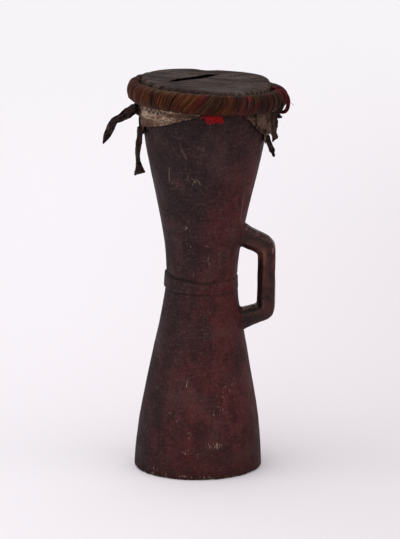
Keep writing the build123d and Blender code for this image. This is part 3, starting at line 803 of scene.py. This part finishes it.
def hide_head(material):
    """One hide: the torn head over the rim and its edge turned down to a ragged hem."""
    azimuth = np.repeat(np.arange(SKIN_COLUMNS) * 360 / SKIN_COLUMNS, SKIN_ROWS)
    row = np.tile(np.arange(SKIN_ROWS), SKIN_COLUMNS)
    outer = RIM_RADIUS + SKIN_GROWTH
    turn = np.clip(row / (ARC_ROWS - 1), 0, 1) * math.pi / 2
    plane = BODY_HEIGHT + SKIN_GROWTH - outer * np.cos(np.radians(azimuth)) * RIM_SLOPE + rim_lift(azimuth)
    fall = np.clip((row - ARC_ROWS + 1) / (SKIN_ROWS - ARC_ROWS), 0, 1)
    start = plane - SKIN_ROUND
    height = np.where(fall > 0, start + (BODY_HEIGHT - hem_depth(azimuth) - start) * fall,
                      plane - SKIN_ROUND * (1 - np.cos(turn)))
    radius = np.where(fall > 0, radius_at(height) + SKIN_GROWTH, outer - SKIN_ROUND * (1 - np.sin(turn)))
    drop = BODY_HEIGHT - height
    below = ease(drop, 29, 36)
    place = around(azimuth, radius, height)
    folds = rough(place, (26, 26, 6), 23, 3) + 0.4 * rough(place, 4, 24, 2)
    radius = radius + below * (1.5 * folds + 1.4 + 1.8 * fall ** 4 * (1 + wander(azimuth / 5, 25)))
    puckers = ease(np.cos(np.radians(azimuth) * 52 + 2.5 * wander(azimuth / 9, 28)), 0.2, 0.9)
    puckers = puckers * ease(azimuth, 285, 292) * (azimuth < 354)
    above = (1 - ease(drop, 6, 10)) * ease(drop, -1, 3)
    radius = radius - (1 - below) * 0.35 * (folds > 0) * np.abs(folds) - 0.5 * above * puckers
    points = around(azimuth, radius, height)
    stain = np.clip(below * ease(fall, 0.75, 0.97) * ease(wander(azimuth / 6, 26), -0.2, 0.4), 0, 1) * 0.8
    pale = np.clip(above * (0.45 * puckers + 0.5 * hump(azimuth, 196, 14)), 0, 1)
    shade = ease(azimuth, 275, 300) * 0.6 + 0.35 * (azimuth < 165) + 0.5 * ease(fall, 0.66, 0.9) * (azimuth < 262)
    shade = np.clip(shade + 0.85 * hump(azimuth, 187, 11), 0, 1)
    under = ease(drop, 8, 24)

    ring = points[::SKIN_ROWS]
    flat = [tuple(point[:2]) for point in ring]
    edges = [(index, (index + 1) % SKIN_COLUMNS) for index in range(SKIN_COLUMNS)]
    share = np.linspace(0, 1, 61)
    length = (share - 0.5) * TEAR_LENGTH
    ways = np.concatenate([np.column_stack([length, -tear_gap(share)]),
                           np.column_stack([length, tear_gap(share)])[::-1]])
    ways[:, 1] += tear_bend(ways[:, 0])
    cosine = math.cos(TEAR_ANGLE)
    sine = math.sin(TEAR_ANGLE)
    lens = np.column_stack([TEAR_CENTRE[0] + ways[:, 0] * cosine - ways[:, 1] * sine,
                            TEAR_CENTRE[1] + ways[:, 0] * sine + ways[:, 1] * cosine])
    first = len(flat)
    flat += [tuple(point) for point in lens]
    edges += [(first + index, first + (index + 1) % len(lens)) for index in range(len(lens))]
    chance = random.Random(9)
    limit = outer - SKIN_ROUND - 1.4
    for x in np.arange(-limit, limit, 2.6):
        for y in np.arange(-limit, limit, 2.6):
            spot = (x + chance.uniform(-0.5, 0.5), y + chance.uniform(-0.5, 0.5))
            clear = np.min(np.hypot(lens[:, 0] - spot[0], lens[:, 1] - spot[1])) > 1.2
            if math.hypot(*spot) < limit and clear:
                flat.append(spot)
    flat = [Vector(spot) for spot in flat]
    spots, _, triangles, origins, _, _ = delaunay_2d_cdt(flat, edges, [], 1, 1e-5)
    spots = np.array([tuple(spot) for spot in spots])
    centre = np.array([spots[list(triangle)].mean(0) for triangle in triangles])
    along, across = tear_place(centre[:, 0], centre[:, 1])
    within = np.clip(along / TEAR_LENGTH + 0.5, 0, 1)
    hole = (np.abs(across - tear_bend(along)) < tear_gap(within)) & (np.abs(along) < TEAR_LENGTH / 2)
    index_of = {}
    extra = []
    for number, sources in enumerate(origins):
        rim = [source for source in sources if source < SKIN_COLUMNS]
        if rim:
            index_of[number] = rim[0] * SKIN_ROWS
        else:
            index_of[number] = len(points) + len(extra)
            extra.append(spots[number])
    extra = np.array(extra)
    head = np.column_stack([extra, head_height(extra[:, 0], extra[:, 1])])
    faces = grid_faces(SKIN_COLUMNS, SKIN_ROWS, closed=True)
    for triangle, cut in zip(triangles, hole):
        if not cut:
            corners = spots[list(triangle)]
            left = np.cross(corners[1] - corners[0], corners[2] - corners[0]) > 0
            order = triangle if left else triangle[::-1]
            faces.append(tuple(index_of[corner] for corner in order))
    blank = np.zeros(len(head))
    paint = {"under": under, "stain": stain, "shade": shade, "pale": pale}
    paint = {label: np.concatenate([values, blank]) for label, values in paint.items()}
    made = piece("hide_head", np.vstack([points, head]), faces, material, nodes=["drumhead_skin"],
                 paint=paint, solid=SKIN_THICKNESS)
    return made


def hanging(azimuth, distance, height, places):
    """Points of a piece given as out, down and sideways from a place near the shell."""
    angle = math.radians(azimuth)
    places = np.asarray(places, float)
    out = distance + places[:, 0]
    x = out * math.cos(angle) - places[:, 2] * math.sin(angle)
    y = out * math.sin(angle) + places[:, 2] * math.cos(angle)
    return np.column_stack([x, y, height - places[:, 1]])


def dried_strip(name, azimuth, distance, height, places, material, body="drum", seed=1, ragged=2.0, slant=0.0,
                nodes=()):
    """Dried strip along places (out, down, sideways, width, thickness, roll), wrinkled and torn at its end."""
    sides = 16
    theta = np.arange(sides) * 2 * math.pi / sides
    rows = smooth_path(places, 9)
    line = hanging(azimuth, distance, height, rows[:, :3])
    tangent = np.gradient(line, axis=0)
    tangent /= np.linalg.norm(tangent, axis=1)[:, None]
    angle = math.radians(azimuth)
    aside = np.array([-math.sin(angle), math.cos(angle), 0])
    flatwise = np.cross(tangent, aside)
    flatwise /= np.linalg.norm(flatwise, axis=1)[:, None]
    upwise = np.cross(flatwise, tangent)
    length = np.concatenate([[0], np.cumsum(np.linalg.norm(np.diff(line, axis=0), axis=1))])
    points = []
    uv = []
    creases = []
    for index in range(len(rows)):
        width, thickness, roll = rows[index, 3:6]
        turn = math.radians(roll)
        broad = math.cos(turn) * flatwise[index] + math.sin(turn) * upwise[index]
        deep = math.cos(turn) * upwise[index] - math.sin(turn) * flatwise[index]
        wrinkle = 1 + 0.22 * wander(np.cos(theta) * 1.6 + length[index] / 21, seed)
        wrinkle = wrinkle + 0.14 * wander(np.sin(theta) * 2.3 + length[index] / 5, seed + 3)
        section = np.outer(np.cos(theta) * width / 2 * wrinkle, broad)
        groove = 1 - 0.45 * hump(np.cos(theta), 0.25 * math.sin(length[index] / 11 + seed), 0.3)
        section += np.outer(np.sin(theta) * thickness / 2 * wrinkle * groove, deep)
        reach = np.zeros(sides)
        if index == len(rows) - 1:
            reach = slant * np.cos(theta) + ragged * wander(np.cos(theta) * 4.6, seed + 5)
        points.append(line[index] + section + np.outer(reach, tangent[index]))
        uv.append(np.column_stack([theta / 6.28 * 2.5, np.full(sides, length[index] / 10)]))
        # Painted shade: darker along the strip's side edges and in its groove
        creases.append(0.7 * ease(np.abs(np.cos(theta)), 0.75, 0.98) + 1.2 * (1 - groove))
    points = np.vstack(points)
    faces = grid_faces(len(rows), sides, ring=True)
    last = (len(rows) - 1) * sides
    faces.append(tuple(range(sides))[::-1])
    faces.append(tuple(range(last, last + sides)))
    crease = np.clip(np.concatenate(creases), 0, 0.85)
    return piece(name, points, faces, material, body=body, nodes=nodes, paint={"crease": crease},
                 uv=np.vstack(uv))


def limb(name, body, node, azimuth, drop, root, places, neck, material, seed, slant):
    """Limb or tail that starts where it joins the hem."""
    height = BODY_HEIGHT - drop
    slope = (radius_at(height + root) - radius_at(height - root)) / (2 * root)
    distance = float(radius_at(height)) + SKIN_GROWTH + (root + LIMB_GAP) * math.hypot(1, slope)
    made = dried_strip(name, azimuth, distance, height, places, material, body=None, seed=seed, slant=slant,
                       nodes=[node])
    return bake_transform(made)


def flap(material):
    """Loose flap of hide outside the hem at the right, folded and torn to a point."""
    columns = 64
    rows = 36
    azimuth = np.repeat(np.linspace(316, 359, columns), rows)
    fall = np.tile(np.linspace(0, 1, rows), columns)
    x = FLAP_DISTANCE * np.cos(np.radians(azimuth))
    deep = np.interp(x, *zip(*FLAP_HEM))
    deep = deep + 2.6 * wander(azimuth / 2.1, 31) + 2.0 * wander(azimuth / 0.8, 32)
    drop = FLAP_TOP + (deep - FLAP_TOP) * fall
    place = around(azimuth, FLAP_DISTANCE, BODY_HEIGHT - drop)
    folds = hump(azimuth - 335, 9 * fall, 2.0) - hump(azimuth - 340, 6 * fall, 1.6)
    folds += 0.9 * hump(azimuth - 349, -5 * fall, 2.2) - 0.7 * hump(azimuth, 353, 1.5)
    crumple = 2.2 * rough(place, (11, 11, 17), 33, 3) + 0.9 * rough(place, 4, 34, 2)
    radius = 97.2 + ease(fall, 0, 0.3) * (2.4 * folds + crumple) + 1.8 * fall ** 2
    points = around(azimuth, np.maximum(radius, 95.2), BODY_HEIGHT - drop)
    uv = np.column_stack([azimuth / 3, drop / 10])
    # Painted shade in the fold valleys and along the fold line near 335.5; also darker at the torn hem and from
    # azimuth 336 on
    crease = 0.5 * ease(-folds - 0.2 * crumple, 0.15, 0.8) + 0.6 * ease(fall, 0.9, 1.0)
    crease += hump(azimuth - 335.5, 2 * fall, 1.3) + 0.75 * ease(azimuth, 336, 340)
    crease = np.clip(crease, 0, 0.9)
    made = piece("loose_flap", points, grid_faces(columns, rows), material, nodes=["hide_flap"],
                 paint={"crease": crease}, uv=uv, solid=0.9)
    return made


# Bindings


def turn_edge(turn):
    """Azimuth of the winding's lower edge after so many turns."""
    count = len(TURN_EDGES)
    indices = range(-3, count + 5)
    knots = np.array([TURN_EDGES[index % count] + 360 * (index // count) for index in indices], float)
    place = np.asarray(turn, float) - 0.5 + 3
    index = np.clip(np.floor(place).astype(int), 1, len(knots) - 3)
    share = place - index
    return through(*(knots[index + step] for step in (-1, 0, 1, 2)), share)


def hoop_section(azimuth):
    """Depth of the hoop across its section, slimmer at the left, and its sink at the back right."""
    azimuth = np.asarray(azimuth, float) % 360
    return HOOP_DEPTH - 5.0 * hump(azimuth, 162, 30), 4.0 * hump(azimuth, 48, 34)


def hoop_core(material):
    """Cane hoop under the strips, uneven along its length."""
    columns = 180
    rows = 20
    azimuth = np.repeat(np.arange(columns) * 360 / columns, rows)
    phase = np.tile(np.arange(rows) * 2 * math.pi / rows, columns)
    depth, sink = hoop_section(azimuth)
    worn = 0.25 * wander(azimuth / 7 + 2 * np.cos(phase), 50) - 0.3
    out = HOOP_RADIUS - (HOOP_DEPTH - depth) / 2 + (depth / 2 + worn) * np.cos(phase)
    points = on_hoop(around(azimuth, out, (HOOP_TALL / 2 + worn) * np.sin(phase) - sink))
    faces = [(a, d, c, b) for a, b, c, d in grid_faces(columns, rows, closed=True, ring=True)]
    return piece("hoop_core", points, faces, material, nodes=["cane_hoop"])


def strip(name, node, first, last, material):
    """One strip wound round the hoop: each turn a domed ribbon whose upper edge lies over the next turn."""
    turns = np.linspace(first, last, (last - first) * TURN_STEPS + 1)
    across = np.linspace(0, 1, STRIP_ACROSS)
    turn = np.repeat(turns, STRIP_ACROSS)
    share = np.tile(across, len(turns))
    phase = np.radians(180 + 360 * turn)
    low = turn_edge(turn)
    high = turn_edge(turn + 1)
    azimuth = low - 0.5 + (high - low + 1.2) * share
    crossing = 5 * hump(azimuth, 265, 17) + 1.6 * wander(azimuth / 24, 49)
    azimuth = azimuth + crossing * np.sin(phase)
    width = (high - low) * math.radians(1) * (HOOP_RADIUS + 10)
    outer = np.maximum(np.cos(phase), 0)
    number = np.clip(np.floor(turn - 1e-9), first, last - 1).astype(int)
    domed = np.sin(math.pi * share)
    fibre = wander(share * width / 2.6 + number * 13.7 + 0.5 * wander(turn * 2.2, 41), 42)
    fibre += 0.6 * wander(share * width / 1.1 + number * 7.1 + 0.3 * wander(turn * 4, 46), 43)
    ropy_left = number < ROPY_BEFORE
    ropy_right = number > ROPY_AFTER
    ropy = ropy_left | ropy_right
    lift = 1.0 + 0.9 * domed ** 0.6 + 0.85 * ease(share, 0.15, 1.0) + (0.3 + 0.4 * ropy) * fibre * domed ** 0.4
    lift += ropy * outer * (2.2 * domed - 1.2)
    lift += outer * (0.8 * wander(number * 2.9 + 0.2 * turn, 44) + 0.1) * (0.5 + 0.5 * domed)
    lift -= 1.6 * outer * hump(azimuth, 182, 22)
    built_up = 2.6 * hump(azimuth, 255, 62) + 8.6 * hump(azimuth, 157, 13)
    lift += built_up * np.maximum(np.sin(phase), 0) ** 1.5
    lift += 1.8 * np.maximum(-np.cos(phase), 0)
    lift += 1.2 * outer * domed * np.maximum(wander(number * 1.7, 48), -0.3) * hump(azimuth, 345, 20)
    depth, sink = hoop_section(azimuth)
    facing_out = HOOP_TALL * np.cos(phase)
    facing_up = depth * np.sin(phase)
    size = np.hypot(facing_out, facing_up)
    out = HOOP_RADIUS - (HOOP_DEPTH - depth) / 2 + depth / 2 * np.cos(phase) + facing_out / size * lift
    rise = HOOP_TALL / 2 * np.sin(phase) + facing_up / size * lift - sink
    points = on_hoop(around(azimuth, out, rise))
    ends = np.array([TONES[TURN_TONES[index % len(TURN_TONES)]] for index in range(last + 1)])
    blend = 0.6 * ease(share, 0.6, 1.0) * ~ropy
    tones = ends[number] + (ends[number + 1] - ends[number]) * blend[:, None]
    tones = tones * (1 + 0.25 * wander(turn * 1.7, 45))[:, None]
    level = np.degrees(np.arcsin(np.clip(np.sin(phase), -1, 1)))
    for way, tilt, wide, tall, tone, strength in BLOOMS:
        off = off_turn(azimuth, way) / wide
        amount = strength * np.exp(-off ** 2 - ((level - tilt) / tall) ** 2) * (np.cos(phase) > -0.2)
        tones = tones + (np.array(tone) - tones) * (amount * (1 + 0.5 * fibre)).clip(0, 1)[:, None]
    faded = (number == FADED_TURN) * ease(-np.sin(phase), 0.3, 0.8)
    tones = tones + (np.array(TONES["tan"]) - tones) * faded[:, None]
    # Painted shadow: a dark band along each turn's edge that lies under the turn before it, wider at the ropy
    # ends, and a fainter dark line along its other edge
    shade = np.maximum(np.clip(0.65 + 0.9 * wander(number * 5.3, 47), 0.2, 1), ropy)
    edge = shade * (1 - ease(share * width, 0.8, 2.0 + 2.2 * shade + 2.6 * ropy_left + 0.6 * ropy_right))
    edge = np.clip(edge + 0.35 * (1 - ease((1 - share) * width, 0.1, 1.0)), 0, 1)
    uv = np.column_stack([share * width / 10 + number * 3.3, turn * 7.5])
    return piece(name, points, grid_faces(len(turns), STRIP_ACROSS), material, nodes=[node],
                 paint={"tone": tones, "edge": edge}, uv=uv, solid=0.8)


# Yarn and threads


def threads(name, lines, thickness, material, nodes=()):
    """Threads as smooth round strands through their points."""
    curve = bpy.data.curves.new(name, "CURVE")
    curve.dimensions = "3D"
    curve.bevel_depth = thickness / 2000
    curve.bevel_resolution = 2
    curve.resolution_u = 5
    curve.use_fill_caps = True
    for line in lines:
        spline = curve.splines.new("NURBS")
        spline.points.add(len(line) - 1)
        for point, place in zip(spline.points, to_row(line)):
            point.co = (*place, 1)
        spline.order_u = 3
        spline.use_endpoint_u = True
    mesh = final_mesh(linked(name + "_guide", curve))
    finish_mesh(mesh, [material])
    made = linked(name, mesh)
    if nodes:
        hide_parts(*nodes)
    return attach(made, "drum")


def yarn_tuft(material):
    """Three frayed knots of yarn ends under the hoop."""
    chance = random.Random(12)
    lines = []
    for _ in range(YARN_ENDS):
        knot = chance.choice(YARN_KNOTS)
        start = (knot[0] + chance.gauss(0, knot[1] * 0.55), 96.5 + chance.uniform(0, 3),
                 BODY_HEIGHT - 28.5 - chance.uniform(0, 2.5))
        sway = chance.gauss(0, 0.7)
        reach = chance.triangular(2, 12.5, 5) * math.exp(-((start[0] - knot[0]) / knot[1] / 1.7) ** 2)
        line = []
        for step in range(6):
            share = step / 5
            turn = start[0] + sway * 2.2 * share + chance.gauss(0, 0.5)
            level = start[2] - reach * share + chance.gauss(0, 0.7)
            distance = start[1] - 3.5 * share + chance.gauss(0, 0.9) + 2 * math.sin(3 * share)
            line.append(around(turn, max(float(radius_at(level)) + 3.2, distance), level)[0])
        lines.append(line)
    return threads("yarn_ends", lines, 1.0, material, ["red_yarn_tuft"])


def lacing(material):
    """Thread that laces the hide under the hoop at the left."""
    line = []
    for stroke in range(LACING_STROKES + 1):
        azimuth = LACING_START + LACING_SWEEP * stroke / LACING_STROKES
        for lean in (-0.6, 0.6):
            height = BODY_HEIGHT - 32.5 + 6 * (stroke % 2 - 0.5) + 0.5 * math.sin(stroke * 2.3)
            line.append(around(azimuth + lean, float(radius_at(height)) + 4.0, height)[0])
    return threads("lacing", [line], 1.1, material, ["lacing_thread"])


def rim_stitches(material):
    """Short stitches along the turned edge of the head at the right."""
    chance = random.Random(5)
    outer = RIM_RADIUS + SKIN_GROWTH
    lines = []
    for azimuth in np.arange(294, 353, 6.9):
        turn = azimuth + chance.uniform(-2, 2)
        level = BODY_HEIGHT - RIM_RADIUS * math.cos(math.radians(turn)) * RIM_SLOPE
        deep = chance.uniform(6, 9)
        drops = [(1.6, -1.8), (3.4, -0.4), (0.7 * deep, 0.05), (deep, -0.1)]
        lines.append([around(turn + 0.5 * index, outer + out, level - drop)[0]
                      for index, (drop, out) in enumerate(drops)])
    return threads("rim_stitches", lines, 0.7, material)


def tie_cord(material):
    """Twisted cord that ties the limb's root up to the hoop."""
    lines = []
    rise = np.linspace(0, 1, 19)
    for strand in range(2):
        turns = strand * math.pi + np.linspace(0, 9, 19)
        twist = np.column_stack([12 * rise + 0.9 * np.cos(turns), -9 * rise, 1.5 + 0.9 * np.sin(turns)])
        lines.append(hanging(180, 93, BODY_HEIGHT - 33, twist))
    return threads("tie_cord", lines, 1.7, material)


def stray_hairs(material):
    """Fine hairs that stand off the loops at the right."""
    lines = [
        hanging(355, 112, BODY_HEIGHT - 24, [(0, 0, 0), (4, 1, 0), (7, 4, 1), (9, 5.5, 1)]),
        hanging(350, 111, BODY_HEIGHT - 18, [(0, 0, 0), (2.5, -2, 0), (4, -1, -1), (6, 2, -1)]),
    ]
    return threads("stray_hairs", lines, 0.45, material)


# Camera, light and floor


def stage():
    camera_data = bpy.data.cameras.new("camera")
    camera_data.lens = CAMERA_LENS
    camera_data.sensor_width = 36
    camera_data.clip_end = 50
    camera = linked("camera", camera_data)
    aim = Matrix.Rotation(math.pi / 2 - CAMERA_PITCH, 4, "X") @ Matrix.Rotation(CAMERA_ROLL, 4, "Z")
    camera.matrix_world = Matrix.Translation(CAMERA_PLACE) @ aim
    bpy.context.scene.camera = camera

    bm = bmesh.new()
    bmesh.ops.create_grid(bm, x_segments=8, y_segments=8, size=9)
    floor_mesh = bpy.data.meshes.new("floor")
    bm.to_mesh(floor_mesh)
    bm.free()
    floor_mesh.materials.append(floor_paint())
    floor = linked("floor", floor_mesh)

    for name, place, spread, strength in (
        ("key", (-2.4, -1.8, 2.4), 80, 1.1),
        ("fill", (2.2, -2.6, 2.2), 90, 0.85),
        ("back", (-0.6, 1.6, 2.6), 80, 0.7),
    ):
        lamp_data = bpy.data.lights.new(name, "SUN")
        lamp_data.angle = math.radians(spread)
        lamp_data.energy = strength
        lamp = linked(name, lamp_data)
        lamp.location = place
        lamp.rotation_euler = Vector(place).to_track_quat("Z", "Y").to_euler()

    world = bpy.data.worlds.new("studio")
    bpy.context.scene.world = world
    world.use_nodes = True
    background = world.node_tree.nodes["Background"].inputs
    background["Color"].default_value = (0.96, 0.95, 0.97, 1)
    background["Strength"].default_value = 0.5
    bpy.context.scene.view_settings.view_transform = "Standard"


stage()
hide = hide_paint()
dried = dried_paint("dried_hide", (0.011, 0.0056, 0.0053), (0.082, 0.052, 0.046))
olive_hide = dried_paint("olive_hide", (0.060, 0.033, 0.024), (0.170, 0.105, 0.078))
strips = strip_paint()
thread = ply_paint("pale_thread", 0.25, 700.0, 0.35, (0.20, 0.145, 0.105), (0.48, 0.40, 0.32), 0.6)
yarn = ply_paint("red_yarn", 0.04, 900.0, 0.3, (0.07, 0.0027, 0.003), (0.44, 0.017, 0.020), 0.7)

carved_shell()
hoop_core(cane_paint())
for strip_name, (node, first, last, slot) in STRIPS.items():
    strip(strip_name, node, first, last, strips)
hide_head(hide)
flap(olive_hide)
for *facts, seed, slant in LIMBS:
    limb(*facts, dried, seed, slant)
for name, azimuth, distance, drop, places, seed in DRIED_BITS:
    dried_strip(name, azimuth, distance, BODY_HEIGHT - drop, places, dried, seed=seed, ragged=1.2)
loop_height = BODY_HEIGHT - HOOP_DROP - HOOP_RADIUS * math.sin(HOOP_SLANT)
wine_cloth = dried_paint("wine_cloth", (0.026, 0.0040, 0.0046), (0.190, 0.0230, 0.0260))
brown_cloth = dried_paint("brown_cloth", (0.020, 0.0105, 0.0065), (0.085, 0.0460, 0.0270))
dried_strip("loose_loop", LOOSE_LOOP_AZIMUTH, HOOP_RADIUS, loop_height, LOOSE_LOOP, wine_cloth,
            seed=71, ragged=0.5)
inner_loop = [(0.8 * out, 0.9 * (down if down < 0 else 0.75 * down), aside, 0.9 * wide, 0.7 * thick, roll)
              for out, down, aside, wide, thick, roll in LOOSE_LOOP]
dried_strip("second_loop", SECOND_LOOP_AZIMUTH, HOOP_RADIUS, loop_height, inner_loop, brown_cloth,
            seed=73, ragged=0.5)
yarn_tuft(yarn)
lacing(thread)
rim_stitches(thread)
tie_cord(dried)
stray_hairs(dried)
